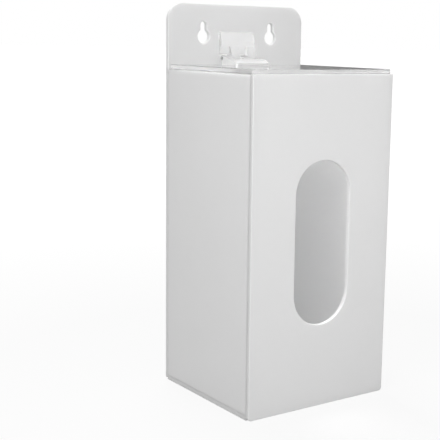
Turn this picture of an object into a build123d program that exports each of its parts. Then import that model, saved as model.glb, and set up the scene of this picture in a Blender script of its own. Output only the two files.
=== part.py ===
from build123d import *
from math import acos, atan2, cos, hypot, sin
import os

# Disposable glove dispenser: an open-topped box of white acrylic sheet that hangs on a
# taller back plate, with a slot in its front panel and a clear lid on a clear butt hinge.
# Millimetres. X runs across the width, -Y faces the user, +Z is up. The origin is the
# centre of the footprint, on the surface that the box stands on.

# ---- sheets -------------------------------------------------------------------------
box_width = 152.4
box_depth = 141.0            # front face of the front panel to back face of the back plate
box_height = 296.0           # top of the front panel
plate_height = 355.6
sheet = 4.0                  # every white panel
edge_break = 0.35            # polished edges are eased by this much
foot_radius = 3.0            # bottom corners of the front panel and the back plate
plate_top_radius = 15.9

# ---- glove slot in the front panel --------------------------------------------------
slot_width = 60.0
slot_height = 147.0          # over both round ends
slot_bottom = 75.3

# ---- keyholes in the back plate -----------------------------------------------------
keyhole_spacing = 76.2
keyhole_diameter = 12.7      # the screw head goes in here
keyhole_neck = 6.4           # and the shank slides up here
keyhole_travel = 10.8        # centre of the round to centre of the neck's end
keyhole_drop = 29.8          # plate top to centre of the round
keyhole_flare = 2.5          # radius where the neck runs into the round
keyhole_chamfer = 0.8        # on the front rim

# ---- lid ----------------------------------------------------------------------------
lid_sheet = 4.0
lid_front_setback = 2.3
lid_side_inset = 0.7
lid_rear_gap = 3.0           # room for the rear edge to swing past the back plate
lid_corner_radius = 1.5
lid_side_clearance = 0.9     # the rear edge dips into this as the lid opens
lid_shut_gap = 0.1           # between the shut lid and the front panel under it

# ---- clear butt hinge, glued into the corner of plate and lid ------------------------
# Both leaves are the same moulding, one turned end for end to mesh with the other.
hinge_width = 38.1
hinge_offset = -2.65         # middle of the hinge from the middle of the box
hinge_reach = 30.6           # corner to the free edge of either leaf
pin_offset = 6.0             # pin axis to the plate face, and to the top of the lid
barrel_radius = 2.8
leaf_thickness = 5.4
leaf_edge = 2.1              # thickness at the free edge
leaf_taper = 10.0            # length of the wedge towards the free edge
leaf_corner_radius = 2.0
web_height = 16.6            # corner to where the webs of the knuckles leave the leaf
web_recess = 2.0             # leaf thinned beside them, for the webs of the other leaf
cement_film = 0.1            # under either leaf
knuckle_count = 4
knuckle_gap = 0.3            # between neighbouring knuckles
notch_clearance = 0.5        # leaf cut back round the other leaf's knuckles
pin_radius = 1.5
pin_seat_clearance = 0.02    # in the wall leaf, which grips the pin
pin_run_clearance = 0.08     # in the lid leaf, which turns on it
pin_recess = 0.5             # pin ends sit this far inside the barrel

# ---- places worked out from the sizes above -----------------------------------------
front_face = -box_depth / 2
bay_front = front_face + sheet
back_face = box_depth / 2
plate_face = back_face - sheet
side_face = box_width / 2
lid_underside = box_height + lid_shut_gap
lid_top = lid_underside + lid_sheet
pin_y = plate_face - pin_offset
pin_z = lid_top + pin_offset
slot_center = slot_bottom + slot_height / 2
keyhole_z = plate_height - keyhole_drop
hinge_start = hinge_offset - hinge_width / 2
leaf_back = plate_face - cement_film
leaf_front = leaf_back - leaf_thickness
notch_end = pin_offset + barrel_radius + notch_clearance
knuckle_pitch = hinge_width / knuckle_count
wall_knuckles = range(1, knuckle_count, 2)
lid_knuckles = range(0, knuckle_count, 2)


def face_at(builder, y):
    """The flat face of a part that lies across the Y axis at y."""
    return builder.faces().filter_by(Axis.Y).filter_by_position(Axis.Y, y - 0.01, y + 0.01)[0]


# ---- bottom panel: the side panels stand on it --------------------------------------
with BuildPart() as bottom_panel:
    with BuildSketch(Plane.XY):
        with Locations((0, (bay_front + plate_face) / 2)):
            Rectangle(box_width, plate_face - bay_front)
    extrude(amount=sheet)

# ---- side panels --------------------------------------------------------------------
side_height = box_height - lid_side_clearance - sheet


def side_panel(side):
    """One side wall, for side = -1 on the left or +1 on the right."""
    with BuildPart() as panel:
        with BuildSketch(Plane.XY.offset(sheet)):
            with Locations((side * (side_face - sheet / 2), (bay_front + plate_face) / 2)):
                Rectangle(sheet, plate_face - bay_front)
        extrude(amount=side_height)
    return panel


left_panel = side_panel(-1)
right_panel = side_panel(1)

# ---- front panel with the glove slot ------------------------------------------------
with BuildPart() as front_panel:
    with BuildSketch(Plane.XZ.offset(-front_face)) as front_outline:
        with Locations((0, box_height / 2)):
            Rectangle(box_width, box_height)
        fillet(front_outline.vertices().group_by(Axis.Y)[0], foot_radius)
        with Locations((0, slot_center)):
            SlotOverall(slot_height, slot_width, rotation=90, mode=Mode.SUBTRACT)
    extrude(amount=-sheet)
    chamfer(face_at(front_panel, front_face).edges(), edge_break)
    slot_rim = face_at(front_panel, bay_front).inner_wires()[0]
    chamfer(slot_rim.edges(), edge_break)

# ---- back plate with two keyholes ---------------------------------------------------
with BuildPart() as back_plate:
    with BuildSketch(Plane.XZ.offset(-plate_face)) as plate_outline:
        with Locations((0, plate_height / 2)):
            Rectangle(box_width, plate_height)
        fillet(plate_outline.vertices().group_by(Axis.Y)[0], foot_radius)
        fillet(plate_outline.vertices().group_by(Axis.Y)[-1], plate_top_radius)
    extrude(amount=-sheet)
    for rim_y in (plate_face, back_face):
        chamfer(face_at(back_plate, rim_y).edges(), edge_break)
    with BuildSketch(Plane.XZ.offset(-plate_face)) as keyholes:
        with GridLocations(keyhole_spacing, 1, 2, 1):
            with Locations((0, keyhole_z)):
                Circle(keyhole_diameter / 2)
            with Locations((0, keyhole_z + keyhole_travel / 2)):
                SlotCenterToCenter(keyhole_travel, keyhole_neck, rotation=90)
        throats = keyholes.vertices().filter_by_position(
            Axis.Y, keyhole_z + 0.1, keyhole_z + keyhole_travel - 0.1
        )
        fillet(throats, keyhole_flare)
    extrude(amount=-sheet, mode=Mode.SUBTRACT)
    for keyhole in face_at(back_plate, plate_face).inner_wires():
        chamfer(keyhole.edges(), keyhole_chamfer)

# ---- clear lid, over the front panel ------------------------------------------------
lid_width = box_width - 2 * lid_side_inset
lid_front = front_face + lid_front_setback
lid_rear = plate_face - lid_rear_gap

with BuildPart() as lid:
    with BuildSketch(Plane.XY.offset(lid_underside)) as lid_outline:
        with Locations((0, (lid_front + lid_rear) / 2)):
            Rectangle(lid_width, lid_rear - lid_front)
        fillet(lid_outline.vertices(), lid_corner_radius)
    extrude(amount=lid_sheet)
    chamfer(lid.faces().filter_by(Axis.Z).edges(), edge_break)

# ---- hinge --------------------------------------------------------------------------
# Both leaves have one section. It is drawn against the back plate, with the corner of
# plate and lid at (plate_face, lid_top), and the lid's leaf is its mirror image in the
# plane that halves that corner.
corner_mirror = Plane(origin=(0, plate_face, lid_top), z_dir=(0, 1, 1))

# The web runs straight from the leaf to the front of the barrel, which it meets at a tangent.
web_y = leaf_front - pin_y
web_z = lid_top + web_height - pin_z
web_turn = atan2(web_z, web_y) + acos(barrel_radius / hypot(web_y, web_z))
web_foot = (pin_y + barrel_radius * cos(web_turn), pin_z + barrel_radius * sin(web_turn))


def hinge_leaf(knuckles, bore_clearance):
    """A leaf on the back plate, with knuckles at the given places along the barrel."""
    with BuildPart() as leaf:
        with BuildSketch(Plane.YZ.offset(hinge_start)):
            with BuildLine():
                Polyline(
                    (leaf_back, lid_top + notch_end),
                    (leaf_back, lid_top + hinge_reach),
                    (leaf_back - leaf_edge, lid_top + hinge_reach),
                    (leaf_front, lid_top + hinge_reach - leaf_taper),
                    (leaf_front, lid_top + web_height),
                    (leaf_front + web_recess, lid_top + web_height),
                    (leaf_front + web_recess, lid_top + notch_end),
                    close=True,
                )
            make_face()
        extrude(amount=hinge_width)
        free_corners = leaf.edges().filter_by(Axis.Y).group_by(Axis.Z)[-1]
        fillet(free_corners, leaf_corner_radius)
        for place in knuckles:
            start = hinge_start + place * knuckle_pitch + knuckle_gap / 2
            with BuildSketch(Plane.YZ.offset(start)):
                with BuildLine():
                    Polyline(
                        (leaf_back, pin_z),
                        (leaf_back, lid_top + web_height),
                        (leaf_front, lid_top + web_height),
                        web_foot,
                        (pin_y, pin_z),
                        close=True,
                    )
                make_face()
                with Locations((pin_y, pin_z)):
                    Circle(barrel_radius)
                    Circle(pin_radius + bore_clearance, mode=Mode.SUBTRACT)
            extrude(amount=knuckle_pitch - knuckle_gap)
    return leaf


hinge_wall_leaf = hinge_leaf(wall_knuckles, pin_seat_clearance)

with BuildPart() as hinge_lid_leaf:
    add(hinge_leaf(lid_knuckles, pin_run_clearance).part)
    mirror(about=corner_mirror, mode=Mode.REPLACE)

with BuildPart() as hinge_pin:
    with BuildSketch(Plane.YZ.offset(hinge_start + pin_recess)):
        with Locations((pin_y, pin_z)):
            Circle(pin_radius)
    extrude(amount=hinge_width - 2 * pin_recess)

# ---- labels and files ---------------------------------------------------------------
pieces = {
    "bottom_panel": bottom_panel,
    "left_panel": left_panel,
    "right_panel": right_panel,
    "front_panel": front_panel,
    "back_plate": back_plate,
    "lid": lid,
    "hinge_wall_leaf": hinge_wall_leaf,
    "hinge_lid_leaf": hinge_lid_leaf,
    "hinge_pin": hinge_pin,
}

os.makedirs("parts", exist_ok=True)
for name, piece in pieces.items():
    piece.part.label = name
    export_step(piece.part, f"parts/{name}.step")
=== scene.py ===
import bpy
import math
from mathutils import Matrix, Vector


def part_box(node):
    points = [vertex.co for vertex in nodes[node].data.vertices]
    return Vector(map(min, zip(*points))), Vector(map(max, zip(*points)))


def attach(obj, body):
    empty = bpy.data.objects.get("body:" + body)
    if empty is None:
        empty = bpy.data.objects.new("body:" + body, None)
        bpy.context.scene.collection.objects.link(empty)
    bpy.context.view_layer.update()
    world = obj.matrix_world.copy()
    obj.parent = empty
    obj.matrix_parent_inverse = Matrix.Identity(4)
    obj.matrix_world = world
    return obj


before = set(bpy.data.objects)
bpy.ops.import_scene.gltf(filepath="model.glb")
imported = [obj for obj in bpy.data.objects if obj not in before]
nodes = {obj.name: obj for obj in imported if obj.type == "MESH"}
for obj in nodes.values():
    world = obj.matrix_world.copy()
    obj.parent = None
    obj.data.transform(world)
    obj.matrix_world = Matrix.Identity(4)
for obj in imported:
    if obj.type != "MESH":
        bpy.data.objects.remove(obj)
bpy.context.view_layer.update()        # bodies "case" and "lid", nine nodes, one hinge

print("frame loaded:", ", ".join(sorted(nodes)))


def hexColour(code):
    # sRGB hex, as a paint chart gives it, to Blender's linear colour
    parts = [int(code[i:i + 2], 16) / 255 for i in (1, 3, 5)]
    return tuple(p / 12.92 if p <= 0.04045 else ((p + 0.055) / 1.055) ** 2.4 for p in parts) + (1,)


def addNode(tree, kind, settings=None, sockets=None):
    # a socket is given a number, a colour, or another node's output to be linked to
    node = tree.nodes.new(kind)
    for name, value in (settings or {}).items():
        setattr(node, name, value)
    for name, value in (sockets or {}).items():
        if isinstance(value, bpy.types.NodeSocket):
            tree.links.new(value, node.inputs[name])
        else:
            node.inputs[name].default_value = value
    return node


def startMaterial(name):
    material = bpy.data.materials.new(name)
    material.use_nodes = True
    material.node_tree.nodes.clear()
    return material, material.node_tree


def deselectAll():
    if bpy.context.object and bpy.context.object.mode != "OBJECT":
        bpy.ops.object.mode_set(mode="OBJECT")
    bpy.ops.object.select_all(action="DESELECT")


# How far a surface looks along an axis: under the first share it is a cut edge, over the
# second it is a flat face, and an eased edge runs from one to the other.
squareness = {"none": 0.55, "full": 0.9}


def onFlatFace(tree, place, axis):
    # 1 on the two faces of a sheet that lies across the axis, 0 on its cut edges
    normal = addNode(tree, "ShaderNodeSeparateXYZ", {}, {0: place.outputs["Normal"]})
    across = addNode(tree, "ShaderNodeMath", {"operation": "ABSOLUTE"}, {0: normal.outputs[axis]})
    return addNode(tree, "ShaderNodeMapRange", {"clamp": True},
                   {"Value": across.outputs[0], "From Min": squareness["none"],
                    "From Max": squareness["full"]}).outputs[0]


def noiseOf(tree, place, featureMm, detail, settings=None):
    # noise in the piece's own coordinates, its lumps about as wide as stated
    return addNode(tree, "ShaderNodeTexNoise", {},
                   {"Vector": place.outputs["Object"], "Scale": 1000 / featureMm, "Detail": detail,
                    **(settings or {})}).outputs["Fac"]


def reliefOf(tree, microns, height, under=None):
    # a bump of that height, over another one if there is one
    sockets = {"Strength": 1.0, "Distance": microns / 1e6, "Height": height}
    if under:
        sockets["Normal"] = under
    return addNode(tree, "ShaderNodeBump", {}, sockets).outputs[0]


def toOutput(tree, shader):
    addNode(tree, "ShaderNodeOutputMaterial", {}, {"Surface": shader.outputs[0]})


# Opal white cast acrylic. Light sinks a few millimetres into it, so the inside of a box of it glows.
# The faces come off the glass mould glossy and a touch wavy. The cut edges are scraped, so they are
# greyer, satin and slightly wavy. A band of the top cut edges under the lid is painted dark grey: painted
# shade for the joint under the lid.
opalSheet = {
    "face": "#EEEEEE", "edge": "#ECECEC",
    "glow": 0.7, "glowMm": 3,
    # painted shade: the dark grey that the top cut edges under the lid are painted, and where that band
    # lies
    "rim": "#B4B4B4", "rimBelowTopMm": 0.5, "rimBandMm": 1.2,
    "faceRoughness": 0.09, "edgeRoughness": 0.32,
    "ior": 1.49,
    "mottleMm": 55, "mottleDepth": 0.012, "mottleSoftness": 0.5,
    "waveMm": 38, "waveMicrons": 6,
    "scraperMm": 20.1, "scraperMicrons": 12, "scraperUnevenness": 0.6,
}


def opalAcrylic(name, thicknessAxis):
    v = opalSheet
    material, tree = startMaterial(name)
    place = addNode(tree, "ShaderNodeTexCoord")
    onFace = onFlatFace(tree, place, thicknessAxis)
    mottle = noiseOf(tree, place, v["mottleMm"], 3.0, {"Roughness": v["mottleSoftness"]})
    tone = addNode(tree, "ShaderNodeMapRange", {},
                   {"Value": mottle, "To Min": 1 - v["mottleDepth"], "To Max": 1 + v["mottleDepth"]})
    height = addNode(tree, "ShaderNodeSeparateXYZ", {}, {0: place.outputs["Object"]})
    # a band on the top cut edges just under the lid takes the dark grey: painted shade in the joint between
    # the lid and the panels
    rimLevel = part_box("front_panel")[1][2] - v["rimBelowTopMm"] / 1000
    atRim = addNode(tree, "ShaderNodeMath", {"operation": "COMPARE"},
                    {0: height.outputs["Z"], 1: rimLevel, 2: v["rimBandMm"] / 1000})
    shadedUnderLid = addNode(tree, "ShaderNodeMath", {"operation": "MULTIPLY"},
                   {0: atRim.outputs[0], 1: onFlatFace(tree, place, "Z")})
    cut = addNode(tree, "ShaderNodeMix", {"data_type": "RGBA"},
                  {"Factor": shadedUnderLid.outputs[0], "A": hexColour(v["edge"]), "B": hexColour(v["rim"])})
    finish = addNode(tree, "ShaderNodeMix", {"data_type": "RGBA"},
                     {"Factor": onFace, "A": cut.outputs["Result"], "B": hexColour(v["face"])})
    colour = addNode(tree, "ShaderNodeVectorMath", {"operation": "SCALE"},
                     {0: finish.outputs["Result"], "Scale": tone.outputs[0]})
    roughness = addNode(tree, "ShaderNodeMapRange", {},
                        {"Value": onFace, "To Min": v["edgeRoughness"], "To Max": v["faceRoughness"]})
    faceWave = reliefOf(tree, v["waveMicrons"], noiseOf(tree, place, v["waveMm"], 1.0))
    # at scale 1 diagonal bands turn by 10 radians a metre
    bandScale = 2 * math.pi / (10 * v["scraperMm"] / 1000)
    scraped = addNode(tree, "ShaderNodeTexWave", {"wave_type": "BANDS", "bands_direction": "DIAGONAL"},
                      {"Vector": place.outputs["Object"], "Scale": bandScale,
                       "Distortion": v["scraperUnevenness"], "Detail": 1.0})
    onEdge = addNode(tree, "ShaderNodeMath", {"operation": "SUBTRACT"}, {0: 1.0, 1: onFace})
    edgeHeight = addNode(tree, "ShaderNodeMath", {"operation": "MULTIPLY"},
                         {0: scraped.outputs["Fac"], 1: onEdge.outputs[0]})
    relief = reliefOf(tree, v["scraperMicrons"], edgeHeight.outputs[0], faceWave)
    shader = addNode(tree, "ShaderNodeBsdfPrincipled", {},
                     {"Base Color": colour.outputs[0], "Roughness": roughness.outputs[0], "IOR": v["ior"],
                      "Subsurface Weight": v["glow"], "Subsurface Radius": (1, 1, 1),
                      "Subsurface Scale": v["glowMm"] / 1000, "Normal": relief})
    toOutput(tree, shader)
    return material


# Clear acrylic sheet: water white, mirror smooth faces, and edges whose polish leaves a
# slight milkiness. Lamps shine through it.
clearSheet = {"tint": "#FDFDFD", "roughness": 0.015, "clearness": 1.0,
              "edgeTint": "#F4F4F4", "edgeRoughness": 0.03, "edgeClearness": 0.66,
              "ior": 1.49, "waveMm": 30, "waveMicrons": 4, "lampTint": "#F3F3F3"}
# Moulded clear plastic: milkier than sheet, with flow lines and sink that liven its surface.
clearMoulding = {"tint": "#F7F7F7", "roughness": 0.08, "clearness": 0.6,
                 "ior": 1.49, "waveMm": 6, "waveMicrons": 8, "lampTint": "#FCFCFC"}
# Extruded clear rod, dulled where it rubs in the knuckles.
clearRod = {"tint": "#FAFAFA", "roughness": 0.2, "clearness": 0.9,
            "ior": 1.49, "waveMm": 3, "waveMicrons": 5, "lampTint": "#949494"}


def clearAcrylic(name, v):
    material, tree = startMaterial(name)
    place = addNode(tree, "ShaderNodeTexCoord")
    relief = reliefOf(tree, v["waveMicrons"], noiseOf(tree, place, v["waveMm"], 1.0))
    tint, roughness, clearness = hexColour(v["tint"]), v["roughness"], v["clearness"]
    if "edgeTint" in v:
        onFace = onFlatFace(tree, place, "Z")
        tint = addNode(tree, "ShaderNodeMix", {"data_type": "RGBA"},
                       {"Factor": onFace, "A": hexColour(v["edgeTint"]), "B": tint}).outputs["Result"]
        roughness = addNode(tree, "ShaderNodeMapRange", {},
                            {"Value": onFace, "To Min": v["edgeRoughness"], "To Max": roughness}).outputs[0]
        clearness = addNode(tree, "ShaderNodeMapRange", {},
                            {"Value": onFace, "To Min": v["edgeClearness"], "To Max": clearness}).outputs[0]
    shader = addNode(tree, "ShaderNodeBsdfPrincipled", {},
                     {"Base Color": tint, "Roughness": roughness, "IOR": v["ior"],
                      "Transmission Weight": clearness, "Normal": relief})
    path = addNode(tree, "ShaderNodeLightPath")
    letThrough = addNode(tree, "ShaderNodeBsdfTransparent", {}, {"Color": hexColour(v["lampTint"])})
    passing = addNode(tree, "ShaderNodeMixShader", {},
                      {0: path.outputs["Is Shadow Ray"], 1: shader.outputs[0], 2: letThrough.outputs[0]})
    toOutput(tree, passing)
    return material


finishes = {
    "front_panel": opalAcrylic("opal_cast_acrylic_front", "Y"),
    "back_plate": opalAcrylic("opal_cast_acrylic_back", "Y"),
    "left_panel": opalAcrylic("opal_cast_acrylic_left", "X"),
    "right_panel": opalAcrylic("opal_cast_acrylic_right", "X"),
    "bottom_panel": opalAcrylic("opal_cast_acrylic_bottom", "Z"),
    "lid": clearAcrylic("clear_cast_acrylic", clearSheet),
    "hinge_wall_leaf": clearAcrylic("clear_moulded_hinge", clearMoulding),
    "hinge_pin": clearAcrylic("clear_extruded_rod", clearRod),
}
finishes["hinge_lid_leaf"] = finishes["hinge_wall_leaf"]
for name, material in finishes.items():
    slots = nodes[name].data.materials
    if len(slots):
        for i in range(len(slots)):
            slots[i] = material
    else:
        slots.append(material)
print("finishes set on", len(finishes), "nodes")

# Solvent cement runs along the inside of every seam and dries as a small glossy fillet.
# Lengths are in millimetres, and reach is a share of the leg.
cementFillet = {"leg": 1.3, "sunk": 0.02, "reach": 0.9, "hollow": 0.18, "steps": 6, "shortOfTop": 3.0,
                "colour": "#F0F0EF", "roughness": 0.06, "beadMm": 4, "beadMicrons": 30, "smoothBelow": 40}


def cementStrip(name, start, end, sideA, sideB):
    # a square strip along a seam, its free edge bevelled hollow; the sides point away from the two panels
    v = cementFillet
    leg, sunk = v["leg"] / 1000, v["sunk"] / 1000
    start, end, sides = Vector(start), Vector(end), Vector(sideA) + Vector(sideB)
    along = end - start
    middle = (start + end) / 2 + sides * (leg / 2 - sunk)
    deselectAll()
    bpy.ops.mesh.primitive_cube_add(size=1, location=middle)
    strip = bpy.context.object
    strip.name = name
    strip.scale = [abs(step) if abs(step) > leg else leg for step in along]
    bpy.ops.object.transform_apply(location=True, rotation=True, scale=True)
    mesh = strip.data
    for parts in (mesh.vertices, mesh.polygons):
        parts.foreach_set("select", [False] * len(parts))
    free = middle + sides * (leg / 2)
    for edge in mesh.edges:
        centre = sum((mesh.vertices[i].co for i in edge.vertices), Vector()) / 2
        edge.select = (centre - free).length < leg / 4
    bpy.context.tool_settings.mesh_select_mode = (False, True, False)
    bpy.ops.object.mode_set(mode="EDIT")
    bpy.ops.mesh.bevel(offset=leg * v["reach"], segments=v["steps"], profile=v["hollow"])
    bpy.ops.object.mode_set(mode="OBJECT")
    return strip


# the faces of the panels that look into the bay, and where the upright seams' cement ends
left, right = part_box("left_panel")[1][0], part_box("right_panel")[0][0]
front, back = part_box("front_panel")[1][1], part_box("back_plate")[0][1]
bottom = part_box("bottom_panel")[1][2]
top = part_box("left_panel")[1][2] - cementFillet["shortOfTop"] / 1000
strips = []
for side, x, inX in (("left", left, (1, 0, 0)), ("right", right, (-1, 0, 0))):
    strips.append(cementStrip(side + "_foot", (x, front, bottom), (x, back, bottom), inX, (0, 0, 1)))
    for end, y, inY in (("front", front, (0, 1, 0)), ("back", back, (0, -1, 0))):
        strips.append(cementStrip(side + "_" + end, (x, y, bottom), (x, y, top), inX, inY))
for end, y, inY in (("front", front, (0, 1, 0)), ("back", back, (0, -1, 0))):
    strips.append(cementStrip(end + "_foot", (left, y, bottom), (right, y, bottom), inY, (0, 0, 1)))
deselectAll()
for strip in strips:
    strip.select_set(True)
bpy.context.view_layer.objects.active = strips[0]
bpy.ops.object.join()
cement = bpy.context.object
cement.name = "cement_fillets"
bpy.context.scene.cursor.location = (0, 0, 0)
bpy.ops.object.origin_set(type="ORIGIN_CURSOR")
bpy.ops.object.shade_smooth_by_angle(angle=math.radians(cementFillet["smoothBelow"]))

v = cementFillet
material, tree = startMaterial("dried_solvent_cement")
place = addNode(tree, "ShaderNodeTexCoord")
# brushed-in cement dries in low beads along the seam
relief = reliefOf(tree, v["beadMicrons"], noiseOf(tree, place, v["beadMm"], 2.0))
shader = addNode(tree, "ShaderNodeBsdfPrincipled", {},
                 {"Base Color": hexColour(v["colour"]), "Roughness": v["roughness"],
                  "IOR": opalSheet["ior"], "Normal": relief})
toOutput(tree, shader)
cement.data.materials.clear()
cement.data.materials.append(material)
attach(cement, "case")
print("cement fillets along", len(strips), "seams")

# near and far are metres from the object, between which the floor brightens
stage = {"floorSize": 60.0, "floorColour": "#8C8C8C", "floorWhite": 0.7,
         "near": 0.3, "nearLevel": 1.27, "far": 1.6, "farLevel": 1.5,
         "worldColour": "#F4F4F4", "worldLevel": 0.47}


def seenBySight(tree):
    # 1 for rays from the camera and for those that a mirror or a clear piece passes on
    path = addNode(tree, "ShaderNodeLightPath")
    either = addNode(tree, "ShaderNodeMath", {"operation": "MAXIMUM"},
                     {0: path.outputs["Is Camera Ray"], 1: path.outputs["Is Glossy Ray"]})
    return addNode(tree, "ShaderNodeMath", {"operation": "MAXIMUM"},
                   {0: either.outputs[0], 1: path.outputs["Is Transmission Ray"]}).outputs[0]


deselectAll()
bpy.ops.mesh.primitive_plane_add(size=stage["floorSize"], location=(0, 0, 0))
floor = bpy.context.object
floor.name = "studio_floor"
# matt paper: lit as it is, and lifted to white where it is looked at, more so farther away
material, tree = startMaterial("matt_paper_floor")
place = addNode(tree, "ShaderNodeTexCoord")
away = addNode(tree, "ShaderNodeVectorMath", {"operation": "LENGTH"}, {0: place.outputs["Object"]})
level = addNode(tree, "ShaderNodeMapRange", {"clamp": True},
                {"Value": away.outputs["Value"], "From Min": stage["near"], "From Max": stage["far"],
                 "To Min": stage["nearLevel"], "To Max": stage["farLevel"]})
matt = addNode(tree, "ShaderNodeBsdfDiffuse", {}, {"Color": hexColour(stage["floorColour"])})
white = addNode(tree, "ShaderNodeEmission", {}, {"Color": (1, 1, 1, 1), "Strength": level.outputs[0]})
share = addNode(tree, "ShaderNodeMath", {"operation": "MULTIPLY"},
                {0: seenBySight(tree), 1: stage["floorWhite"]})
floorMix = addNode(tree, "ShaderNodeMixShader", {},
                   {0: share.outputs[0], 1: matt.outputs[0], 2: white.outputs[0]})
toOutput(tree, floorMix)
floor.data.materials.append(material)

# A grey card stands low behind the box, out of sight, as photographers do for clear plastic:
# the lid's gloss and its polished edge have something darker than the backdrop to show.
card = {"place": (0.42, 0.98), "size": (0.9, 0.335), "turn": -36, "colour": "#A2A2A2"}
deselectAll()
bpy.ops.mesh.primitive_plane_add(size=1, location=(card["place"][0], card["place"][1], card["size"][1] / 2),
                                 rotation=(math.radians(90), 0, math.radians(card["turn"])))
greyCard = bpy.context.object
greyCard.name = "grey_card"
greyCard.scale = (card["size"][0], card["size"][1], 1)
for unseenBy in ("camera", "diffuse", "shadow"):
    setattr(greyCard, "visible_" + unseenBy, False)
material, tree = startMaterial("matt_grey_card")
paper = addNode(tree, "ShaderNodeBsdfDiffuse", {}, {"Color": hexColour(card["colour"])})
toOutput(tree, paper)
greyCard.data.materials.append(material)

world = bpy.data.worlds.new("studio")
bpy.context.scene.world = world
world.use_nodes = True
tree = world.node_tree
tree.nodes.clear()
soft = addNode(tree, "ShaderNodeBackground", {},
               {"Color": hexColour(stage["worldColour"]), "Strength": stage["worldLevel"]})
plain = addNode(tree, "ShaderNodeBackground", {}, {"Color": (1, 1, 1, 1), "Strength": 1.0})
worldMix = addNode(tree, "ShaderNodeMixShader", {},
                   {0: seenBySight(tree), 1: soft.outputs[0], 2: plain.outputs[0]})
addNode(tree, "ShaderNodeOutputWorld", {}, {"Surface": worldMix.outputs[0]})

lamps = {
    "key_softbox": {"place": (0.0, -0.62, 0.28), "aim": (0, 0, 0.2), "size": 0.45, "watts": 1.37},
    "side_softbox": {"place": (-0.8, -0.35, 0.5), "aim": (0, 0, 0.2), "size": 0.6, "watts": 3.5},
    "top_softbox": {"place": (0.05, 0.36, 1.22), "aim": (0, 0, 0.2), "size": 0.3, "watts": 6.2},
}
for name, v in lamps.items():
    bpy.ops.object.light_add(type="AREA", location=v["place"])
    lamp = bpy.context.object
    lamp.name = name
    lamp.data.shape = "SQUARE"
    lamp.data.size = v["size"]
    lamp.data.energy = v["watts"]
    lamp.rotation_euler = (Vector(v["aim"]) - Vector(v["place"])).to_track_quat("-Z", "Y").to_euler()
print("floor, world and", len(lamps), "softboxes ready")

cameraView = {"place": (-0.55897, -0.76390, 0.32386), "heading": 36.483, "pitch": -9.875, "roll": 1.163,
              "lens": 84.511, "sensor": 36, "shiftX": -0.1375}
v = cameraView
bpy.ops.object.camera_add(location=v["place"])
camera = bpy.context.object
camera.name = "front_left_view"
camera.data.sensor_width = v["sensor"]
camera.data.lens = v["lens"]
camera.data.shift_x = v["shiftX"]
turn = (Matrix.Rotation(math.radians(-v["heading"]), 4, "Z")
        @ Matrix.Rotation(math.radians(90 + v["pitch"]), 4, "X")
        @ Matrix.Rotation(math.radians(v["roll"]), 4, "Z"))
camera.rotation_euler = turn.to_euler()
bpy.context.scene.camera = camera
bpy.context.scene.view_settings.view_transform = "Standard"
# clear parts inside one another and a white box need many bounces
bounces = {"max_bounces": 32, "transmission_bounces": 28, "glossy_bounces": 12, "diffuse_bounces": 12}
for name, count in bounces.items():
    setattr(bpy.context.scene.cycles, name, count)
print("camera set")
